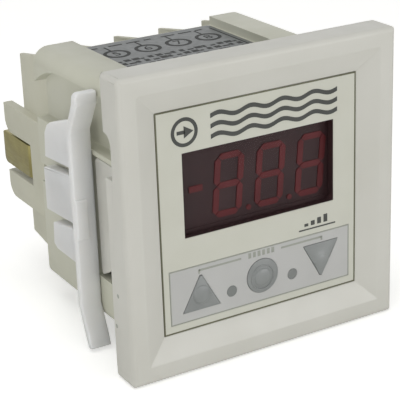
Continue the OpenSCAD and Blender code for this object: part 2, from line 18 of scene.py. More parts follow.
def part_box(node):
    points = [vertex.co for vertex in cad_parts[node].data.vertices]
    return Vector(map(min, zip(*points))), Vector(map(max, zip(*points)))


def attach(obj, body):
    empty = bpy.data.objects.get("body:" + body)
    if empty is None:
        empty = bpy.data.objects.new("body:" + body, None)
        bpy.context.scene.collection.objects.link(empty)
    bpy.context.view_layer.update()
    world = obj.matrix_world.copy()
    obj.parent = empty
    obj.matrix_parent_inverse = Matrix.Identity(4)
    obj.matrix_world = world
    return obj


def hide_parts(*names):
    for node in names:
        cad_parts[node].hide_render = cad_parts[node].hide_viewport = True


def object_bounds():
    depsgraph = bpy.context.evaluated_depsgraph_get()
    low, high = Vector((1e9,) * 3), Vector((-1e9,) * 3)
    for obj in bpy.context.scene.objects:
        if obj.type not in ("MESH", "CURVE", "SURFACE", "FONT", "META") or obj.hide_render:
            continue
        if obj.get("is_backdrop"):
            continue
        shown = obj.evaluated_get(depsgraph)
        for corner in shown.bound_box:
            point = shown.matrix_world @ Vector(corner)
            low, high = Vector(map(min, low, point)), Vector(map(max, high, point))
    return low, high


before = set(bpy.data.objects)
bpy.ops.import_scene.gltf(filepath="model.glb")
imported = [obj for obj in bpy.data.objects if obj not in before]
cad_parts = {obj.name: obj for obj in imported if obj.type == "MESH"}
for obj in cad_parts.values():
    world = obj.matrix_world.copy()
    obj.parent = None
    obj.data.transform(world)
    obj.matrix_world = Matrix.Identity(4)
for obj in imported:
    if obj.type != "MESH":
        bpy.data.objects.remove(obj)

logging.basicConfig(level=logging.INFO, format="%(message)s")
LOG = logging.getLogger("flow_switch")

MM = 0.001
# Corners of the model nearer than this are one corner.
WELD = 0.002
# Faces that bend less than this, in degrees, are one flat.
FLAT_BEND = 0.6
# Edges that bend less than this, in degrees, are shaded smooth.
SMOOTH_BEND = 32.0
# A face lies across an axis when its normal reaches this far along it.
ACROSS = 0.9
# A cutting tool stands this far out of what it cuts.
PAST = 1.0
# Screen print is drawn thicker than it is, so that it stands clear of its ground.
INK_DEPTH = 0.03
INK_ROUND = 0.008

Point = Sequence[float]
Piece = bpy.types.Object
Tree = bpy.types.NodeTree
Socket = bpy.types.NodeSocket
Setting = Union[float, str, Sequence[float], Socket]


class Body(str, Enum):
    """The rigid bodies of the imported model."""

    UNIT = "unit"
    UP_KEY = "up_key"
    SET_KEY = "set_key"
    DOWN_KEY = "down_key"
    LEFT_BRACKET = "left_bracket"
    RIGHT_BRACKET = "right_bracket"


class Slot(str, Enum):
    """Material slot names, which nothing in this script uses."""

    CASE = "case_plastic"
    SHEET = "sheet"
    KEY_SHEET = "key_sheet"
    KEY = "key_plastic"
    BLACK = "black_plastic"
    HOUSING = "housing_plastic"
    BLOCK = "block_plastic"
    BRACKET = "bracket_plastic"
    BRASS = "brass"
    SCREW = "screw_metal"


class Axis(Enum):
    """The direction that a turned piece's axis points in, as the turn that brings +Z to it."""

    UP = (0.0, 0.0, 0.0)
    BACK = (-math.pi / 2, 0.0, 0.0)
    FRONT = (math.pi / 2, 0.0, 0.0)
    LEFT = (0.0, -math.pi / 2, 0.0)


def linear(code: str) -> tuple[float, float, float, float]:
    """Turns an sRGB hex colour to linear light.

    Args:
        code: The colour as six hex digits after a hash sign.

    Returns:
        Red, green, blue and an alpha of 1.
    """
    parts = [int(code[i:i + 2], 16) / 255 for i in (1, 3, 5)]
    light = [p / 12.92 if p <= 0.04045 else ((p + 0.055) / 1.055) ** 2.4 for p in parts]
    return (light[0], light[1], light[2], 1.0)


def add_node(
    tree: Tree,
    kind: str,
    settings: Optional[dict[str, object]] = None,
    inputs: Optional[dict[Union[str, int], Setting]] = None,
) -> bpy.types.Node:
    """Adds a shader node with its settings, values and links.

    Args:
        tree: The material's node tree.
        kind: The node's type name.
        settings: Properties of the node itself.
        inputs: For each socket, its value, or the socket that feeds it.

    Returns:
        The new node.
    """
    node = tree.nodes.new(kind)
    for name, value in (settings or {}).items():
        setattr(node, name, value)
    for socket, value in (inputs or {}).items():
        if isinstance(value, Socket):
            tree.links.new(value, node.inputs[socket])
        else:
            node.inputs[socket].default_value = value
    return node


def blank_material(name: str) -> tuple[bpy.types.Material, Tree, Socket]:
    """Makes an empty node material.

    Args:
        name: The material's name.

    Returns:
        The material, its tree, and the Object coordinates that its patterns read.
    """
    material = bpy.data.materials.new(name)
    material.use_nodes = True
    tree = material.node_tree
    tree.nodes.clear()
    place = add_node(tree, "ShaderNodeTexCoord").outputs["Object"]
    return material, tree, place


def uneven(
    tree: Tree, place: Setting, lump_mm: float, low: float, high: float, detail: float = 2.0
) -> Socket:
    """Lets a value wander between two limits from lump to lump.

    Args:
        tree: The material's node tree.
        place: The coordinates.
        lump_mm: The lumps' size in millimetres.
        low: The lower limit.
        high: The upper limit.
        detail: How much finer noise lies on the lumps.

    Returns:
        The value.
    """
    noise = add_node(
        tree, "ShaderNodeTexNoise", {},
        {"Vector": place, "Scale": 1 / (lump_mm * MM), "Detail": detail},
    )
    spread = add_node(
        tree, "ShaderNodeMapRange", {},
        {
            "Value": noise.outputs[0], "From Min": 0.3, "From Max": 0.7,
            "To Min": low, "To Max": high,
        },
    )
    return spread.outputs[0]


def clouded(
    tree: Tree, place: Setting, lump_mm: float, colour: str, shade: str, detail: float = 2.0
) -> Socket:
    """Clouds one colour with another.

    Args:
        tree: The material's node tree.
        place: The coordinates.
        lump_mm: The clouds' size in millimetres.
        colour: The first colour.
        shade: The second colour.
        detail: How much finer noise lies on the clouds.

    Returns:
        The clouded colour.
    """
    share = uneven(tree, place, lump_mm, 0.0, 1.0, detail)
    mix = add_node(
        tree, "ShaderNodeMix", {"data_type": "RGBA"},
        {0: share, 6: linear(colour), 7: linear(shade)},
    )
    return mix.outputs[2]


def grained(
    tree: Tree, place: Setting, lump_mm: float, depth_mm: float, detail: float = 2.0
) -> Socket:
    """Raises an even grain.

    Args:
        tree: The material's node tree.
        place: The coordinates.
        lump_mm: The grain's size in millimetres.
        depth_mm: How deep it is in millimetres.
        detail: How much finer noise lies on the grain.

    Returns:
        The normal.
    """
    noise = add_node(
        tree, "ShaderNodeTexNoise", {},
        {"Vector": place, "Scale": 1 / (lump_mm * MM), "Detail": detail},
    )
    bump = add_node(
        tree, "ShaderNodeBump", {},
        {"Height": noise.outputs[0], "Distance": depth_mm * MM, "Strength": 1.0},
    )
    return bump.outputs["Normal"]


@dataclass(frozen=True)
class Surface:
    """A finish on one principled shader: two near colours, and patterns of its own kind."""

    name: str
    colour: str
    shade: str

    def patterns(self, tree: Tree, place: Setting) -> dict[str, Setting]:
        """Builds the patterns.

        Args:
            tree: The material's node tree.
            place: The Object coordinates.

        Returns:
            For each socket of the shader, its value or what feeds it.
        """
        raise NotImplementedError

    def material(self) -> bpy.types.Material:
        """Builds the material."""
        material, tree, place = blank_material(self.name)
        shader = add_node(tree, "ShaderNodeBsdfPrincipled", {}, self.patterns(tree, place))
        add_node(tree, "ShaderNodeOutputMaterial", {}, {"Surface": shader.outputs[0]})
        return material


@dataclass(frozen=True)
class MouldedPlastic(Surface):
    """Opaque plastic from a spark-eroded mould.

    The mould leaves an even fine grain that breaks up the gloss, and the pigment mottles a
    little. Real grain is too fine to show, so it is drawn coarser. A milky plastic lets light
    in, which lifts its shaded sides.
    """

    roughness: float = 0.42
    grain_mm: float = 0.35
    grain_depth_mm: float = 0.006
    mottle_mm: float = 16.0
    milkiness: float = 0.0
    milk_depth_mm: float = 1.0
    milk_radius: tuple[float, float, float] = (1.0, 0.95, 0.9)
    sheen_mm: float = 5.0
    sheen_spread: float = 0.05
    ior: float = 1.53

    def patterns(self, tree: Tree, place: Setting) -> dict[str, Setting]:
        """Mottles the pigment, varies the gloss and raises the grain."""
        dull, bright = self.roughness + self.sheen_spread, self.roughness - self.sheen_spread
        return {
            "Base Color": clouded(tree, place, self.mottle_mm, self.colour, self.shade, 3.0),
            "Roughness": uneven(tree, place, self.sheen_mm, bright, dull),
            "IOR": self.ior,
            "Normal": grained(tree, place, self.grain_mm, self.grain_depth_mm, 1.0),
            "Subsurface Weight": self.milkiness,
            "Subsurface Scale": self.milk_depth_mm * MM,
            "Subsurface Radius": self.milk_radius,
        }


@dataclass(frozen=True)
class PrintedFilm(Surface):
    """Polycarbonate film with a fine matt emboss.

    It is printed on its back, so its colour lies deep and even. The emboss is drawn coarser
    than it is, because the real one is too fine to show.
    """

    roughness: float = 0.34
    emboss_mm: float = 0.22
    emboss_depth_mm: float = 0.003
    cloud_mm: float = 9.0
    sheen_mm: float = 3.0
    sheen_spread: float = 0.04
    ior: float = 1.58

    def patterns(self, tree: Tree, place: Setting) -> dict[str, Setting]:
        """Clouds the print a little, varies the gloss and raises the emboss."""
        dull, bright = self.roughness + self.sheen_spread, self.roughness - self.sheen_spread
        return {
            "Base Color": clouded(tree, place, self.cloud_mm, self.colour, self.shade),
            "Roughness": uneven(tree, place, self.sheen_mm, bright, dull),
            "IOR": self.ior,
            "Normal": grained(tree, place, self.emboss_mm, self.emboss_depth_mm, 1.0),
        }


@dataclass(frozen=True)
class FilterWindow(Surface):
    """Tinted acrylic filter, polished, which lets the unlit digits behind it show.

    Its low IOR stands for the haze coat that keeps the studio out of its face.
    """

    cover: float = 0.12
    cloud_mm: float = 12.0
    sheen_mm: float = 2.0
    sheen: tuple[float, float] = (0.12, 0.2)
    ior: float = 1.05

    def patterns(self, tree: Tree, place: Setting) -> dict[str, Setting]:
        """Clouds the tint a little and varies the gloss."""
        return {
            "Base Color": clouded(tree, place, self.cloud_mm, self.colour, self.shade),
            "Roughness": uneven(tree, place, self.sheen_mm, *self.sheen),
            "IOR": self.ior,
            "Alpha": self.cover,
        }


@dataclass(frozen=True)
class RolledMetal(Surface):
    """Sheet or wire stock, rolled or drawn, with fine streaks along Y and a little tarnish.

    The streaks draw the highlights out, and are drawn coarser than they are so that they show.
    """

    streak_mm: float = 0.25
    streak_depth_mm: float = 0.004
    streak_stretch: tuple[float, float, float] = (1.0, 0.08, 1.0)
    tarnish_mm: float = 2.6
    sheen: tuple[float, float] = (0.28, 0.46)

    def patterns(self, tree: Tree, place: Setting) -> dict[str, Setting]:
        """Clouds the metal with tarnish, and streaks its gloss and its face."""
        mapping = add_node(
            tree, "ShaderNodeMapping", {}, {"Vector": place, "Scale": self.streak_stretch}
        )
        along = mapping.outputs[0]
        return {
            "Base Color": clouded(tree, place, self.tarnish_mm, self.colour, self.shade, 4.0),
            "Metallic": 1.0,
            "Roughness": uneven(tree, along, self.streak_mm, *self.sheen, 3.0),
            "Normal": grained(tree, along, self.streak_mm, self.streak_depth_mm, 3.0),
        }


@dataclass(frozen=True)
class BoardLaminate(Surface):
    """Glass-cloth laminate under green solder mask, with copper tracks a little lighter."""

    track_cell_mm: float = 2.4
    track_edge: tuple[float, float] = (0.08, 0.12)
    track_height_mm: float = 0.03
    sheen_mm: float = 0.6
    sheen: tuple[float, float] = (0.22, 0.34)
    ior: float = 1.55

    def patterns(self, tree: Tree, place: Setting) -> dict[str, Setting]:
        """Draws the tracks, raised a little, and varies the gloss."""
        cells = add_node(
            tree, "ShaderNodeTexVoronoi", {"feature": "DISTANCE_TO_EDGE"},
            {"Vector": place, "Scale": 1 / (self.track_cell_mm * MM)},
        )
        track = add_node(
            tree, "ShaderNodeMapRange", {},
            {
                "Value": cells.outputs["Distance"], "From Min": self.track_edge[0],
                "From Max": self.track_edge[1], "To Min": 1.0, "To Max": 0.0,
            },
        ).outputs[0]
        mix = add_node(
            tree, "ShaderNodeMix", {"data_type": "RGBA"},
            {0: track, 6: linear(self.colour), 7: linear(self.shade)},
        )
        bump = add_node(
            tree, "ShaderNodeBump", {},
            {"Height": track, "Distance": self.track_height_mm * MM, "Strength": 1.0},
        )
        return {
            "Base Color": mix.outputs[2],
            "Roughness": uneven(tree, place, self.sheen_mm, *self.sheen),
            "IOR": self.ior,
            "Normal": bump.outputs["Normal"],
        }


@dataclass(frozen=True)
class LabelFoil(Surface):
    """Silvered polyester label: a soft metal sheen under a matt varnish."""

    metal: float = 0.35
    cloud_mm: float = 6.0
    sheen_mm: float = 1.2
    sheen: tuple[float, float] = (0.36, 0.5)
    varnish_mm: float = 0.3
    varnish_depth_mm: float = 0.003

    def patterns(self, tree: Tree, place: Setting) -> dict[str, Setting]:
        """Clouds the foil a little, varies the gloss and grains the varnish."""
        return {
            "Base Color": clouded(tree, place, self.cloud_mm, self.colour, self.shade),
            "Metallic": self.metal,
            "Roughness": uneven(tree, place, self.sheen_mm, *self.sheen),
            "Normal": grained(tree, place, self.varnish_mm, self.varnish_depth_mm),
        }


@dataclass(frozen=True)
class DriedInk(MouldedPlastic):
    """Screen ink: matt, with the faint lumps that the mesh leaves."""

    roughness: float = 0.6
    grain_mm: float = 0.2
    grain_depth_mm: float = 0.002
    mottle_mm: float = 3.0


@dataclass(frozen=True)
class DisplayFace(MouldedPlastic):
    """The smooth matt face of a digit display, seen through its filter."""

    roughness: float = 0.6
    grain_mm: float = 3.0
    grain_depth_mm: float = 0.0005
    mottle_mm: float = 6.0


class Finish(Enum):
    """Every finish on the unit."""

    # Warm greys, satin from the mould's grain. The rear parts are a shade yellower.
    CASE = MouldedPlastic("warm_grey_abs", "#c7c6bf", "#c2c1b9", roughness=0.4)
    HOUSING = MouldedPlastic("housing_abs", "#c1c1b2", "#b9b9a8", roughness=0.46)
    BLOCK = MouldedPlastic("terminal_block_pbt", "#bfbeae", "#b6b5a3", roughness=0.5)
    # Unfilled nylon glows from within, so its shaded sides stay pale.
    BRACKET = MouldedPlastic(
        "milky_nylon", "#d8d8d8", "#d0d1d1", milkiness=1.0, milk_depth_mm=6.0
    )
    WHITE = MouldedPlastic("natural_nylon", "#dcdbd2", "#d2d1c6", roughness=0.45)
    # Soft rubber keys take no gloss from their fine grain.
    KEY = MouldedPlastic(
        "key_silicone_grey", "#868988", "#7d807f",
        roughness=0.4, grain_mm=0.25, grain_depth_mm=0.003, mottle_mm=4.0,
    )
    # Potted and pressed resins, smooth and a little glossy.
    BLACK = MouldedPlastic("black_epoxy", "#1f1f21", "#18181a", roughness=0.38)
    PIPE = MouldedPlastic(
        "frosted_acrylic", "#7b7e7c", "#737674", roughness=0.3, milkiness=0.3
    )
    LAMP = MouldedPlastic("lamp_epoxy", "#b5402c", "#a33626", roughness=0.25, milkiness=0.3)
    # Printing.
    INK = DriedInk("screen_ink", "#3c3e3b", "#343633")
    LABEL_INK = DriedInk("label_ink", "#1a1c1a", "#141614", roughness=0.75)
    FADED_INK = DriedInk("screen_ink_grey", "#989b92", "#8f9289", roughness=0.5)
    # Films and the display.
    SHEET = PrintedFilm("front_film", "#c4c4b9", "#bfbfb3")
    FIELD = PrintedFilm("key_film_grey", "#b5b5b3", "#b0b0ae")
    # Painted shade: the dark olive band that fills the gap round the front sheet.
    OUTLINE = PrintedFilm("painted_gap_shade", "#5d5d44", "#50503a")
    WINDOW = FilterWindow("red_filter", "#332021", "#2c1c1d")
    # The display's own dark face. On the window's lining, the same finish paints the shade along
    # the window's edges.
    MODULE_AND_EDGE_SHADE = DisplayFace("display_face_and_edge_shade", "#382123", "#301d1f")
    SEGMENT = DisplayFace("segment_epoxy", "#6b1f24", "#5e1c20", mottle_mm=5.0)
    # Metals, the boards and the label.
    BRASS = RolledMetal("terminal_brass", "#9a9261", "#8b8357")
    STEEL = RolledMetal("zinc_plated_steel", "#b9b8b2", "#9f9e97")
    BOARD = BoardLaminate("green_laminate", "#1f5233", "#2f6b43")
    LABEL = LabelFoil("label_foil", "#6c6f6f", "#646767")


@cache
def finish_of(finish: Finish) -> bpy.types.Material:
    """Gives a finish's material, made the first time that it is asked for."""
    return finish.value.material()


def paint(piece: Piece, finish: Finish) -> None:
    """Gives a piece one finish all over, and reports it."""
    piece.data.materials.clear()
    piece.data.materials.append(finish_of(finish))
    for face in piece.data.polygons:
        face.material_index = 0
    LOG.info("%s: %s, %d faces", piece.name, finish.name.lower(), len(piece.data.polygons))


def paint_node(node: str, finish: Finish) -> None:
    """Gives a node of the model one finish all over."""
    paint(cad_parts[node], finish)


def box_of(node: str) -> tuple[Vector, Vector]:
    """The lowest and highest corner of a node of the model."""
    low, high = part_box(node)
    return low / MM, high / MM


def sheet_face() -> float:
    """How far forward the front sheet's face lies."""
    return box_of("front_sheet")[0].y


def deselect() -> None:
    """Leaves edit mode and deselects every object."""
    if bpy.context.object and bpy.context.object.mode != "OBJECT":
        bpy.ops.object.mode_set(mode="OBJECT")
    bpy.ops.object.select_all(action="DESELECT")


def pick(piece: Piece) -> None:
    """Makes a piece the only selected one and the active one."""
    deselect()
    piece.select_set(True)
    bpy.context.view_layer.objects.active = piece


def settle(piece: Piece) -> Piece:
    """Puts a piece's place, turn and size into its mesh."""
    pick(piece)
    bpy.ops.object.transform_apply(location=True, rotation=True, scale=True)
    return piece


def apply_modifier(piece: Piece, kind: str, **settings: object) -> Piece:
    """Adds a modifier and applies it.

    Args:
        piece: The piece.
        kind: The modifier's type name.
        settings: Its properties.

    Returns:
        The piece.
    """
    pick(piece)
    modifier = piece.modifiers.new(kind.lower(), kind)
    for name, value in settings.items():
        setattr(modifier, name, value)
    bpy.ops.object.modifier_apply(modifier=modifier.name)
    return piece


@dataclass(frozen=True)
class Rounding:
    """How sharp edges are rounded.

    Attributes:
        width: The rounding's width.
        segments: How many faces it has.
        bend: The least bend, in degrees, that counts as an edge.
        spared: The axes across which a node's faces stay unmerged, because holes or teeth
            pierce them.
    """

    width: float
    segments: int = 2
    bend: float = 30.0
    spared: str = ""


def ease(piece: Piece, rounding: Rounding) -> Piece:
    """Rounds a piece's sharp edges.

    Args:
        piece: The piece.
        rounding: How they are rounded.

    Returns:
        The piece.
    """
    apply_modifier(
        piece, "BEVEL", width=rounding.width * MM, segments=rounding.segments,
        limit_method="ANGLE", angle_limit=math.radians(rounding.bend),
        use_clamp_overlap=False, miter_outer="MITER_ARC",
    )
    pick(piece)
    bpy.ops.object.shade_smooth_by_angle(angle=math.radians(SMOOTH_BEND))
    return piece


def block(name: str, low: Point, high: Point, round_width: float = 0.0) -> Piece:
    """Adds a block between two corners.

    Args:
        name: The piece's name.
        low: Its lowest corner.
        high: Its highest corner.
        round_width: The rounding of its edges, or none.

    Returns:
        The block.
    """
    deselect()
    centre = [(a + b) / 2 * MM for a, b in zip(low, high)]
    bpy.ops.mesh.primitive_cube_add(size=1, location=centre)
    piece = bpy.context.object
    piece.name = name
    piece.scale = [(b - a) * MM for a, b in zip(low, high)]
    settle(piece)
    return ease(piece, Rounding(round_width)) if round_width else piece


def disc(
    name: str, centre: Point, radius: float, depth: float, axis: Axis, sides: int = 48
) -> Piece:
    """Adds a disc.

    Args:
        name: The piece's name.
        centre: Its middle.
        radius: Its radius.
        depth: Its thickness.
        axis: Where its axis points.
        sides: How many sides it has.

    Returns:
        The disc.
    """
    deselect()
    bpy.ops.mesh.primitive_cylinder_add(
        vertices=sides, radius=radius * MM, depth=depth * MM,
        location=[c * MM for c in centre], rotation=axis.value,
    )
    piece = bpy.context.object
    piece.name = name
    return settle(piece)


def carve(piece: Piece, tool: Piece) -> Piece:
    """Takes the tool's shape out of a piece and removes the tool."""
    apply_modifier(piece, "BOOLEAN", object=tool, operation="DIFFERENCE", solver="EXACT")
    bpy.data.objects.remove(tool)
    return piece


def ring(
    name: str, centre: Point, radius: float, band: float, depth: float, axis: Axis
) -> Piece:
    """Adds a flat ring, a disc with a smaller one taken out of it.

    Args:
        name: The piece's name.
        centre: Its middle.
        radius: Its outer radius.
        band: The width of its band.
        depth: Its thickness.
        axis: Where its axis points.

    Returns:
        The ring.
    """
    piece = disc(name, centre, radius, depth, axis)
    return carve(piece, disc(name + "_hole", centre, radius - band, depth * 3, axis))


def join(name: str, pieces: Iterable[Piece]) -> Piece:
    """Joins pieces into one.

    Args:
        name: The joined piece's name.
        pieces: The pieces, in order.

    Returns:
        The joined piece.
    """
    members = list(pieces)
    deselect()
    for member in members:
        member.select_set(True)
    bpy.context.view_layer.objects.active = members[0]
    if len(members) > 1:
        bpy.ops.object.join()
    joined = bpy.context.object
    joined.name = name
    return settle(joined)


def copy_at(piece: Piece, offset: Point) -> Piece:
    """Copies a piece, with its own mesh, moved by an offset."""
    other = bpy.data.objects.new(piece.name, piece.data.copy())
    bpy.context.scene.collection.objects.link(other)
    other.location = [o * MM for o in offset]
    return settle(other)


def enlist(
    piece: Piece, body: Body, finish: Finish, replaced: Sequence[str] = ()
) -> None:
    """Paints a piece, puts it on its body and hides the model's nodes that it replaces.

    Args:
        piece: The piece.
        body: The body that it rides on.
        finish: Its finish.
        replaced: The model's nodes that it replaces.
    """
    paint(piece, finish)
    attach(piece, body.value)
    if replaced:
        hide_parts(*replaced)


def eased_node(
    node: str, name: str, body: Body, finish: Finish, rounding: Rounding
) -> None:
    """Copies a node of the model, rounds its moulded edges and puts the copy in its place.

    Args:
        node: The node.
        name: The copy's name.
        body: The body that it rides on.
        finish: Its finish.
        rounding: How its edges are rounded.
    """
    piece = bpy.data.objects.new(name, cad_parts[node].data.copy())
    bpy.context.scene.collection.objects.link(piece)
    pick(piece)
    bpy.ops.object.mode_set(mode="EDIT")
    bpy.ops.mesh.select_mode(type="FACE")
    bpy.ops.mesh.select_all(action="SELECT")
    bpy.ops.mesh.remove_doubles(threshold=WELD * MM)
    bpy.ops.object.mode_set(mode="OBJECT")
    for face in piece.data.polygons:
        reach = [abs(face.normal["xyz".index(axis)]) for axis in rounding.spared]
        face.select = max(reach, default=0.0) <= ACROSS
    bpy.ops.object.mode_set(mode="EDIT")
    bpy.ops.mesh.dissolve_limited(angle_limit=math.radians(FLAT_BEND))
    bpy.ops.object.mode_set(mode="OBJECT")
    enlist(ease(piece, rounding), body, finish, [node])


def numeral(text: str, at: Point, height: float, depth: float) -> Piece:
    """Makes a plain raised numeral that faces up.

    Args:
        text: The digits.
        at: Where its middle lies.
        height: The height of a digit.
        depth: Its thickness.

    Returns:
        The numeral as a mesh.
    """
    deselect()
    bpy.ops.object.text_add()
    piece = bpy.context.object
    piece.data.body = text
    # A digit of the built-in face is 0.72 of its size high.
    piece.data.size = height * MM / 0.72
    piece.data.extrude = depth * MM / 2
    piece.data.align_x = "CENTER"
    piece.data.align_y = "CENTER"
    piece.data.resolution_u = 4
    pick(piece)
    bpy.ops.object.convert(target="MESH")
    piece = bpy.context.object
    piece.location = [a * MM for a in at]
    return settle(piece)


@dataclass
class FrontPrint:
    """The sheet's plain print: a ring with an arrow, three waves, and rising bars on a line."""

    ink_sunk: float = 0.02
    ring_middle: tuple[float, float] = (-16.0, 17.4)
    ring_radius: float = 2.8
    ring_band: float = 0.7
    shaft_ends: tuple[float, float] = (-17.6, -15.9)
    shaft_half: float = 0.35
    arrow_tip: float = -14.1
    arrow_half: float = 1.35
    wave_ends: tuple[float, float] = (-10.5, 17.6)
    wave_pitch: float = 2.0
    wave_width: float = 0.85
    wave_swing: float = 0.42
    wave_crests: int = 4
    wave_steps: int = 72
    line: tuple[float, float, float, float] = (8.6, -8.1, 17.2, -7.8)
    bar_count: int = 4
    bar_start: float = 9.9
    bar_pitch: float = 1.5
    bar_width: float = 0.9
    bar_foot: float = -7.3
    bar_height: float = 0.6
    bar_rise: float = 0.35

    def build(self) -> None:
        """Prints the symbol above the window and the marks below it."""
        enlist(join("flow_pictogram", self.symbol()), Body.UNIT, Finish.INK)
        enlist(join("unit_marks", self.rising_bars()), Body.UNIT, Finish.INK)

    def symbol(self) -> list[Piece]:
        """Prints the ring, the arrow and the waves."""
        x, z = self.ring_middle
        tail, neck = self.shaft_ends
        band = ring(
            "flow_ring", (x, sheet_face(), z), self.ring_radius, self.ring_band,
            2 * INK_DEPTH, Axis.FRONT,
        )
        shaft = self.bar(tail, z - self.shaft_half, neck, z + self.shaft_half)
        head = self.arrow_head(z)
        return [band, shaft, head] + [self.wave(z + i * self.wave_pitch) for i in (-1, 0, 1)]

    def rising_bars(self) -> list[Piece]:
        """Prints the line with the bars that rise over it."""
        marks = [self.bar(*self.line)]
        for i in range(self.bar_count):
            x = self.bar_start + i * self.bar_pitch
            top = self.bar_foot + self.bar_height + i * self.bar_rise
            marks.append(self.bar(x, self.bar_foot, x + self.bar_width, top))
        return marks

    def bar(self, x0: float, z0: float, x1: float, z1: float) -> Piece:
        """Prints one bar on the sheet between two corners."""
        front, back = sheet_face() - INK_DEPTH, sheet_face() + self.ink_sunk
        return block("print_bar", (x0, front, z0), (x1, back, z1), INK_ROUND)

    def arrow_head(self, z: float) -> Piece:
        """Prints an arrow head that points right, from a three-sided disc."""
        head = disc("flow_head", (0, 0, 0), self.arrow_half, 2 * INK_DEPTH, Axis.FRONT, 3)
        head.rotation_euler = (0, math.pi / 2, 0)
        settle(head)
        reach = max(v.co.x for v in head.data.vertices) / MM
        head.location = [c * MM for c in (self.arrow_tip - reach, sheet_face(), z)]
        return settle(head)

    def wave(self, z: float) -> Piece:
        """Prints one wave line."""
        start, end = self.wave_ends
        length = (end - start) * MM
        deselect()
        bpy.ops.mesh.primitive_grid_add(x_subdivisions=self.wave_steps, y_subdivisions=1, size=1)
        strip = bpy.context.object
        strip.name = "flow_wave"
        strip.scale = (length, self.wave_width * MM, 1)
        strip.rotation_euler = Axis.FRONT.value
        settle(strip)
        for vertex in strip.data.vertices:
            phase = vertex.co.x / length * 2 * math.pi * self.wave_crests
            vertex.co.z += self.wave_swing * MM * math.sin(phase)
        strip.location = [c * MM for c in ((start + end) / 2, sheet_face() - INK_DEPTH, z)]
        settle(strip)
        return apply_modifier(strip, "SOLIDIFY", thickness=2 * INK_DEPTH * MM, offset=0)


@dataclass
class FrontFace:
    """The bezel with its sheet, its window and its printing, seen from the front."""

    case_edges: Rounding = Rounding(0.2, 3, 18.0, "y")
    sheet_half: float = 21.75
    sunk_half: float = 22.0
    outline_lap: float = 0.06
    outline_gap: float = 0.02
    outline_depth: float = 0.2
    outline_round: float = 0.01
    filter_step: float = 0.8
    filter_flange: float = 0.45
    shade_lining_corner: float = 0.6
    shade_lining_inside: float = 0.01
    shade_lining_outside: float = 0.042
    shade_lining_sink: float = 0.08
    shade_lining_gap: float = 0.03
    display_gap: float = 0.02
    display_margin: float = 0.3
    gate_marks: tuple[tuple[float, float], ...] = ((-2.2, -12.3), (-0.9, -18.9))
    gate_radius: float = 0.42
    gate_depth: float = 0.1
    gate_sink: float = 0.03

    def build(self) -> None:
        """Builds the pieces of the front."""
        eased_node(
            "front_case", "front_case_moulding", Body.UNIT, Finish.CASE,
            self.case_edges,
        )
        paint_node("front_sheet", Finish.SHEET)
        paint_node("window_lens", Finish.WINDOW)
        self.outline()
        self.window_lining()
        FrontPrint().build()
        self.side_marks()

    def outline(self) -> None:
        """Fills the gap round the sheet with a dark band that paints the shade in that gap."""
        low, high = self.sheet_half - self.outline_lap, self.sunk_half - self.outline_gap
        front, back = sheet_face() - INK_DEPTH, sheet_face() + self.outline_depth
        band = block("sheet_gap_shade", (-high, front, -high), (high, back, high))
        hole = block("outline_hole", (-low, front - PAST, -low), (low, back + PAST, low))
        eased = ease(carve(band, hole), Rounding(self.outline_round))
        # The band's dark colour paints the shade that falls in the gap round the sheet.
        enlist(eased, Body.UNIT, Finish.OUTLINE)

    def window_lining(self) -> None:
        """Lines the window's opening and frames the display behind with a thin dark piece that
        paints the shade along the window's edges.
        """
        low, high = box_of("window_lens")
        module_low, module_high = box_of("display_module")
        front, flange = low.y + self.shade_lining_sink, high.y - self.filter_flange - self.shade_lining_gap
        wall = self.filter_step - self.shade_lining_outside
        tube = block(
            "window_shade_lining", (low.x + wall, front, low.z + wall),
            (high.x - wall, flange, high.z - wall),
        )
        wall = self.filter_step - self.shade_lining_inside
        bore = block(
            "shade_lining_bore", (low.x + wall, front - PAST, low.z + wall),
            (high.x - wall, flange + PAST, high.z - wall), self.shade_lining_corner,
        )
        rim = block(
            "display_frame", (low.x, high.y + self.display_gap, low.z),
            (high.x, module_low.y - self.shade_lining_gap, high.z),
        )
        margin = self.display_margin
        view = block(
            "display_view", (low.x + self.filter_step, high.y - PAST, module_low.z + margin),
            (high.x - self.filter_step, module_low.y + PAST, module_high.z - margin),
        )
        lining = join("window_shade_lining", [carve(tube, bore), carve(rim, view)])
        # This dark lining and frame paint the shade along the window's edges, using the display
        # face's finish.
        enlist(lining, Body.UNIT, Finish.MODULE_AND_EDGE_SHADE)

    def side_marks(self) -> None:
        """Adds the small sunk gate marks on the bezel's left side."""
        x = box_of("front_case")[0].x + self.gate_sink
        pieces = []
        for y, z in self.gate_marks:
            mark = disc("gate_mark", (x, y, z), self.gate_radius, self.gate_depth, Axis.LEFT, 24)
            pieces.append(ease(mark, Rounding(self.gate_sink)))
        enlist(join("gate_marks", pieces), Body.UNIT, Finish.FADED_INK)


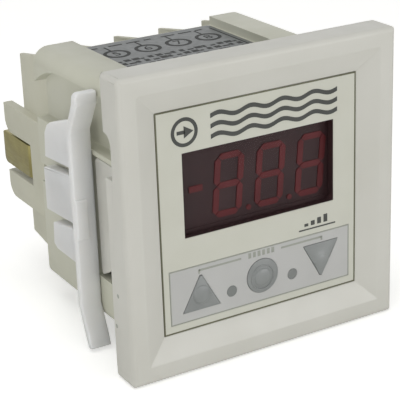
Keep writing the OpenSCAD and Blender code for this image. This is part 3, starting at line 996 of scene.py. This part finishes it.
@dataclass
class KeyField:
    """The grey film with its three keys and two lamp spots."""

    bodies: dict[str, Body] = field(default_factory=lambda: {
        "key_up": Body.UP_KEY, "key_set": Body.SET_KEY, "key_down": Body.DOWN_KEY,
    })
    key_edges: Rounding = Rounding(0.07, 2, 40.0)
    key_proud: float = 0.15
    dome_radii: dict[str, float] = field(default_factory=lambda: {
        "key_up": 1.9, "key_set": 1.9, "key_down": 1.6,
    })
    dome_rise: float = 0.52
    dome_z: float = -15.3
    ridge_radius: float = 2.5
    ridge_half: float = 0.16
    border_width: float = 0.22
    tie_z: float = -10.3
    tie_half: float = 0.2
    tie_left: tuple[float, float] = (-14.0, -4.7)
    tie_right: tuple[float, float] = (4.4, 13.9)
    tie_drop: float = 0.7
    mark_count: int = 6
    mark_start: float = -3.1
    mark_pitch: float = 1.05
    mark_width: float = 0.65
    mark_below: float = 0.45
    mark_above: float = 0.65

    def build(self) -> None:
        """Dresses the keys and the film and prints the lines."""
        paint_node("key_film", Finish.FIELD)
        for node, body in self.bodies.items():
            eased_node(node, node + "_cap", body, Finish.KEY, self.key_edges)
            self.emboss(node, body)
        self.tie_lines()
        self.border()
        for node in ("light_pipe_left", "light_pipe_right"):
            paint_node(node, Finish.PIPE)

    def emboss(self, node: str, body: Body) -> None:
        """Sets a steep-sided dome on a key, and a ridge round the dome of the round one.

        Args:
            node: The key's node.
            body: The body that the key is.
        """
        low, high = box_of(node)
        centre = ((low.x + high.x) / 2, sheet_face() - self.key_proud, self.dome_z)
        place = [c * MM for c in centre]
        radius = self.dome_radii[node]
        deselect()
        bpy.ops.mesh.primitive_uv_sphere_add(
            segments=64, ring_count=32, radius=radius * MM, location=place
        )
        dome = bpy.context.object
        dome.scale = (1, self.dome_rise / radius, 1)
        pieces = [settle(dome)]
        if node == "key_set":
            deselect()
            bpy.ops.mesh.primitive_torus_add(
                major_segments=72, minor_segments=16, major_radius=self.ridge_radius * MM,
                minor_radius=self.ridge_half * MM, location=place, rotation=Axis.FRONT.value,
            )
            pieces.append(settle(bpy.context.object))
        piece = join(node + "_dome", pieces)
        pick(piece)
        bpy.ops.object.shade_smooth()
        enlist(piece, body, Finish.KEY)

    def film_print(self) -> tuple[float, float]:
        """The front and the back of what is printed on the film."""
        front = box_of("key_film")[0].y - INK_DEPTH
        return front, front + 2 * INK_DEPTH

    def tie_lines(self) -> None:
        """Prints the thin lines that tie the outer keys together over the round key."""
        front, back = self.film_print()
        z, half = self.tie_z, self.tie_half
        spans = [(x0, z - half, x1, z + half) for x0, x1 in (self.tie_left, self.tie_right)]
        for x in (self.tie_left[0], self.tie_right[1]):
            spans.append((x - half, z - self.tie_drop, x + half, z + half))
        for i in range(self.mark_count):
            x = self.mark_start + self.mark_pitch * i
            spans.append((x, z - self.mark_below, x + self.mark_width, z + self.mark_above))
        bars = [
            block("tie", (x0, front, z0), (x1, back, z1), INK_ROUND) for x0, z0, x1, z1 in spans
        ]
        enlist(join("key_tie_lines", bars), Body.UNIT, Finish.FADED_INK)

    def border(self) -> None:
        """Prints a thin line round the film's edge."""
        low, high = box_of("key_film")
        front, back = self.film_print()
        width = self.border_width
        outer = block("film_border", (low.x, front, low.z), (high.x, back, high.z))
        inner = block(
            "border_hole", (low.x + width, front - PAST, low.z + width),
            (high.x - width, back + PAST, high.z - width),
        )
        eased = ease(carve(outer, inner), Rounding(INK_ROUND))
        enlist(eased, Body.UNIT, Finish.FADED_INK)


@dataclass
class Electronics:
    """What lies inside: display, boards, switches and lamps."""

    finishes: dict[Finish, tuple[str, ...]] = field(default_factory=lambda: {
        Finish.MODULE_AND_EDGE_SHADE: ("display_module",),
        Finish.SEGMENT: ("display_segments",),
        Finish.BOARD: ("front_board", "main_board"),
        Finish.STEEL: ("board_screws",),
        Finish.BRASS: ("board_pillars",),
        Finish.BLACK: (
            "board_link", "controller_chip", "smoothing_capacitor", "output_transistors",
            "switch_up", "switch_set", "switch_down",
        ),
        Finish.WHITE: ("plunger_up", "plunger_set", "plunger_down"),
        Finish.LAMP: ("lamp_left", "lamp_right"),
    })

    def build(self) -> None:
        """Dresses the inner nodes."""
        for finish, nodes in self.finishes.items():
            for node in nodes:
                paint_node(node, finish)


@dataclass
class LabelPlan:
    """The label's print: a ruled frame, rows of plain marks and two rows of numbered terminals."""

    half_width: float
    top: float
    print_sunk: float = 0.01
    print_proud: float = 0.02
    rules_y: tuple[float, float] = (2.6, 16.4)
    rule_width: float = 0.4
    sides_y: tuple[float, float] = (2.6, 37.4)
    side_width: float = 0.35
    rows_y: tuple[float, ...] = (18.6, 20.6, 22.9, 24.9)
    row_marks: int = 16
    row_start: float = 1.1
    row_pitch: float = 1.78
    mark_width: float = 1.05
    mark_growth: float = 0.28
    mark_heights: tuple[float, float] = (1.35, 0.7)
    dash_count: int = 7
    dash_start: float = 1.2
    dash_pitch: float = 4.1
    dash_lengths: tuple[float, float] = (3.1, 1.6)
    dash_y: tuple[float, float] = (36.9, 37.5)
    terminal_count: int = 4
    terminal_pitch: float = 7.1
    terminal_rows: tuple[float, float] = (9.6, 31.2)
    ring_radius: float = 2.8
    ring_band: float = 0.75
    ring_depth: float = 0.06
    digit_height: float = 2.6
    digit_depth: float = 0.05
    lead_half: float = 0.2
    leads_y: tuple[tuple[float, float], ...] = ((33.8, 37.0), (12.2, 16.5))

    def build(self) -> None:
        """Prints the whole plan as one piece."""
        pieces = self.lines() + self.mark_rows() + self.terminals()
        enlist(join("label_plan", pieces), Body.UNIT, Finish.LABEL_INK)

    def bar(self, x0: float, y0: float, x1: float, y1: float) -> Piece:
        """Prints one bar on the label between two corners."""
        low, high = self.top - self.print_sunk, self.top + self.print_proud
        return block("plan_bar", (x0, y0, low), (x1, y1, high))

    def lines(self) -> list[Piece]:
        """Prints the frame's rules and sides."""
        edge, side = self.half_width, self.side_width
        rules = [self.bar(-edge, y, edge, y + self.rule_width) for y in self.rules_y]
        low, high = self.sides_y
        return rules + [self.bar(x, low, x + side, high) for x in (-edge, edge - side)]

    def mark_rows(self) -> list[Piece]:
        """Prints rows of marks of changing length, and a dashed line."""
        pieces = []
        tall, flat = self.mark_heights
        for row, y in enumerate(self.rows_y):
            for i in range(self.row_marks):
                x = -self.half_width + self.row_start + i * self.row_pitch
                wide = self.mark_width + self.mark_growth * ((i * 5 + row * 7) % 4 - 1)
                pieces.append(self.bar(x, y, x + wide, y + (tall if (i + row) % 3 else flat)))
        long, short = self.dash_lengths
        for i in range(self.dash_count):
            x = -self.half_width + self.dash_start + i * self.dash_pitch
            end = x + (long if i % 3 else short)
            pieces.append(self.bar(x, self.dash_y[0], end, self.dash_y[1]))
        return pieces

    def terminals(self) -> list[Piece]:
        """Prints the terminals' rings, numbers and leads."""
        pieces = []
        for i in range(self.terminal_count):
            x = (i - (self.terminal_count - 1) / 2) * self.terminal_pitch
            for row, y in enumerate(self.terminal_rows):
                at = (x, y, self.top)
                number = str(i + 1 + self.terminal_count * row)
                pieces.append(ring(
                    "plan_terminal", at, self.ring_radius, self.ring_band, self.ring_depth, Axis.UP
                ))
                pieces.append(numeral(number, at, self.digit_height, self.digit_depth))
            for low, high in self.leads_y:
                pieces.append(self.bar(x - self.lead_half, low, x + self.lead_half, high))
        return pieces


@dataclass
class Label:
    """The foil label in the sunk strip on top."""

    half_width: float = 15.7
    front: float = 1.0
    rear: float = 39.5
    strip_depth: float = 1.85
    thickness: float = 0.06
    corner: float = 0.8
    print_margin: float = 0.9

    def build(self) -> None:
        """Builds the label and its print."""
        floor = box_of("housing")[1].z - self.strip_depth
        top = floor + self.thickness
        foil = block(
            "top_label", (-self.half_width, self.front, floor), (self.half_width, self.rear, top)
        )
        self.round_corners(foil)
        enlist(foil, Body.UNIT, Finish.LABEL)
        LabelPlan(self.half_width - self.print_margin, top).build()

    def round_corners(self, foil: Piece) -> None:
        """Rounds the foil's four upright edges."""
        pick(foil)
        bpy.ops.object.mode_set(mode="EDIT")
        bpy.ops.mesh.select_mode(type="EDGE")
        bpy.ops.mesh.select_all(action="DESELECT")
        bpy.ops.object.mode_set(mode="OBJECT")
        for edge in foil.data.edges:
            a, b = (foil.data.vertices[i].co for i in edge.vertices)
            edge.select = abs(a.z - b.z) > 0.5 * self.thickness * MM
        bpy.ops.object.mode_set(mode="EDIT")
        bpy.ops.mesh.bevel(offset=self.corner * MM, segments=5)
        bpy.ops.object.mode_set(mode="OBJECT")


@dataclass
class Housing:
    """The housing behind the panel."""

    edges: Rounding = Rounding(0.12, 2, 30.0, "xyz")

    def build(self) -> None:
        """Rounds the housing's edges."""
        eased_node(
            "housing", "housing_moulding", Body.UNIT, Finish.HOUSING, self.edges
        )


@dataclass
class Terminals:
    """The terminal block with its brass terminals, screws and washers."""

    tiers: tuple[str, ...] = ("upper", "lower")
    per_tier: int = 4
    block_edges: Rounding = Rounding(0.15)
    strip_edges: Rounding = Rounding(0.1, 2, 40.0)
    washer_edges: Rounding = Rounding(0.12, 2, 40.0)
    head_edges: Rounding = Rounding(0.45, 4, 40.0)
    head_radius: float = 2.8
    head_height: float = 2.0
    head_reach: tuple[float, float] = (3.2, 3.4)
    shank_radius: float = 1.45
    shank_length: float = 4.9
    shank_drop: float = 2.4
    slot_width: float = 0.75
    slot_depth: float = 1.0
    slot_reach: float = 2.0

    def build(self) -> None:
        """Builds the block's moulding, its terminals, washers and screws."""
        eased_node(
            "terminal_block", "terminal_block_moulding", Body.UNIT, Finish.BLOCK,
            self.block_edges,
        )
        for node in self.nodes():
            eased_node(
                node, node + "_strip", Body.UNIT, Finish.BRASS, self.strip_edges
            )
        eased_node(
            "terminal_washers", "clamping_washers", Body.UNIT, Finish.STEEL,
            self.washer_edges,
        )
        self.screws()

    def nodes(self) -> list[str]:
        """The terminals' nodes."""
        return [f"terminal_{tier}_{i + 1}" for tier in self.tiers for i in range(self.per_tier)]

    def head_tops(self) -> list[Vector]:
        """The middle of each screw head's rear face."""
        points = [v.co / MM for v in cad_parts["terminal_screws"].data.vertices]
        places = []
        for node in self.nodes():
            low, high = box_of(node)
            middle = (low + high) / 2
            reach_x, reach_z = self.head_reach
            middle.y = max(
                p.y for p in points
                if abs(p.x - middle.x) < reach_x and abs(p.z - middle.z) < reach_z
            )
            places.append(middle)
        return places

    def screws(self) -> None:
        """Builds one cross-slotted screw and copies it to every terminal."""
        half = self.head_height / 2
        head = disc("terminal_screw", (0, 0, 0), self.head_radius, self.head_height, Axis.UP)
        ease(head, self.head_edges)
        for turn in (0, 90):
            blade = block(
                "slot_tool",
                (-self.slot_width / 2, -self.slot_reach, half - self.slot_depth),
                (self.slot_width / 2, self.slot_reach, self.head_height),
            )
            blade.rotation_euler = (0, 0, math.radians(turn))
            carve(head, settle(blade))
        middle = (0, 0, -half - self.shank_drop)
        shank = disc("screw_shank", middle, self.shank_radius, self.shank_length, Axis.UP, 32)
        screw = join("terminal_screw", [head, shank])
        screw.rotation_euler = Axis.BACK.value
        settle(screw)
        copies = [copy_at(screw, (top.x, top.y - half, top.z)) for top in self.head_tops()]
        bpy.data.objects.remove(screw)
        row = join("terminal_screw_set", copies)
        pick(row)
        bpy.ops.object.shade_smooth_by_angle(angle=math.radians(SMOOTH_BEND))
        enlist(row, Body.UNIT, Finish.STEEL, ["terminal_screws"])


@dataclass
class Brackets:
    """The two milky brackets that clamp the unit in its panel."""

    edges: Rounding = Rounding(0.3, 3, 28.0)

    def build(self) -> None:
        """Rounds the brackets' edges."""
        for side, body in (("left", Body.LEFT_BRACKET), ("right", Body.RIGHT_BRACKET)):
            node = f"bracket_{side}"
            eased_node(node, node + "_moulding", body, Finish.BRACKET, self.edges)


@dataclass(frozen=True)
class SoftBox:
    """A square soft box: its place and side in metres, its power in watts."""

    name: str
    place: tuple[float, float, float]
    side: float
    power: float

    def hang(self, target: Vector) -> None:
        """Hangs the box so that it faces a point, given in metres."""
        data = bpy.data.lights.new(self.name, "AREA")
        data.shape = "SQUARE"
        data.size = self.side
        data.energy = self.power
        lamp = bpy.data.objects.new(self.name, data)
        bpy.context.scene.collection.objects.link(lamp)
        lamp.location = self.place
        aim = target - Vector(self.place)
        lamp.rotation_euler = aim.to_track_quat("-Z", "Y").to_euler()


@dataclass
class Studio:
    """The floor, the lamps and the camera.

    The soft boxes stand right of the front, above, left of the front, and far to the left.
    """

    floor_gap: float = 0.05
    floor_side_m: float = 12.0
    floor_lift: float = 0.42
    paper_mm: float = 40.0
    lens: float = 127.03
    sensor: float = 36.0
    clip_m: tuple[float, float] = (0.01, 20.0)
    camera_at: tuple[float, float, float] = (-133.36, -214.12, 98.83)
    right: tuple[float, float, float] = (0.86025, -0.50872, -0.03438)
    up: tuple[float, float, float] = (0.2142, 0.2994, 0.9298)
    forward: tuple[float, float, float] = (0.46269, 0.80719, -0.36655)
    world_strength: float = 0.38
    world_tint: tuple[float, float, float, float] = (1.0, 1.0, 0.985, 1.0)
    white: tuple[float, float, float, float] = (1.0, 1.0, 1.0, 1.0)
    target_m: tuple[float, float, float] = (0.0, 0.02, 0.0)
    boxes: tuple[SoftBox, ...] = (
        SoftBox("front_box", (0.28, -0.45, 0.04), 0.3, 1.02),
        SoftBox("top_box", (-0.08, 0.0, 0.7), 0.5, 1.75),
        SoftBox("left_box", (-0.32, -0.33, 0.04), 0.3, 0.8),
        SoftBox("side_box", (-0.5, 0.2, 0.06), 0.3, 0.38),
    )

    def build(self) -> None:
        """Builds the studio."""
        bpy.context.scene.view_settings.view_transform = "Standard"
        self.camera()
        self.floor()
        self.world()
        for box in self.boxes:
            box.hang(Vector(self.target_m))

    def camera(self) -> None:
        """Puts the camera where the photographer stood."""
        data = bpy.data.cameras.new("photographer")
        data.lens = self.lens
        data.sensor_width = self.sensor
        data.clip_start, data.clip_end = self.clip_m
        camera = bpy.data.objects.new("photographer", data)
        bpy.context.scene.collection.objects.link(camera)
        turn = Matrix((self.right, self.up, [-f for f in self.forward])).transposed()
        place = Matrix.Translation([c * MM for c in self.camera_at])
        camera.matrix_world = place @ turn.to_4x4()
        bpy.context.scene.camera = camera

    def floor(self) -> None:
        """Lays the pale floor, which shows white to the camera and keeps the unit's shadow."""
        deselect()
        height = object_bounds()[0].z - self.floor_gap * MM
        bpy.ops.mesh.primitive_plane_add(size=self.floor_side_m, location=(0, 0, height))
        floor = bpy.context.object
        floor.name = "floor"
        settle(floor)
        material, tree, place = blank_material("pale_paper")
        cloud = add_node(
            tree, "ShaderNodeTexNoise", {},
            {"Vector": place, "Scale": 1 / (self.paper_mm * MM), "Detail": 2.0},
        )
        colour = add_node(
            tree, "ShaderNodeMix", {"data_type": "RGBA"},
            {0: cloud.outputs[0], 6: linear("#f6f6f4"), 7: linear("#f2f2f0")},
        )
        paper = add_node(tree, "ShaderNodeBsdfDiffuse", {}, {"Color": colour.outputs[2]})
        rays = add_node(tree, "ShaderNodeLightPath").outputs["Is Camera Ray"]
        lift = add_node(
            tree, "ShaderNodeMath", {"operation": "MULTIPLY"}, {0: rays, 1: self.floor_lift}
        )
        glow = add_node(
            tree, "ShaderNodeEmission", {}, {"Color": self.white, "Strength": lift.outputs[0]}
        )
        both = add_node(tree, "ShaderNodeAddShader", {}, {0: paper.outputs[0], 1: glow.outputs[0]})
        add_node(tree, "ShaderNodeOutputMaterial", {}, {"Surface": both.outputs[0]})
        floor.data.materials.append(material)
        floor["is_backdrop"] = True

    def world(self) -> None:
        """Lights the scene evenly and shows the camera a white surround."""
        world = bpy.data.worlds.new("studio")
        bpy.context.scene.world = world
        world.use_nodes = True
        tree = world.node_tree
        tree.nodes.clear()
        rays = add_node(tree, "ShaderNodeLightPath").outputs
        seen = rays["Is Camera Ray"]
        for kind in ("Is Glossy Ray", "Is Transmission Ray"):
            either = add_node(
                tree, "ShaderNodeMath", {"operation": "MAXIMUM"}, {0: seen, 1: rays[kind]}
            )
            seen = either.outputs[0]
        soft = add_node(
            tree, "ShaderNodeBackground", {},
            {"Color": self.world_tint, "Strength": self.world_strength},
        )
        white = add_node(tree, "ShaderNodeBackground", {}, {"Color": self.white, "Strength": 1.0})
        mix = add_node(
            tree, "ShaderNodeMixShader", {}, {0: seen, 1: soft.outputs[0], 2: white.outputs[0]}
        )
        add_node(tree, "ShaderNodeOutputWorld", {}, {"Surface": mix.outputs[0]})


def main() -> None:
    """Builds everything in order."""
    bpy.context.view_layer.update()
    for part in (
        Studio(), FrontFace(), KeyField(), Electronics(), Label(), Housing(), Terminals(),
        Brackets(),
    ):
        LOG.info("building %s", type(part).__name__)
        part.build()


if __name__ == "__main__":
    main()
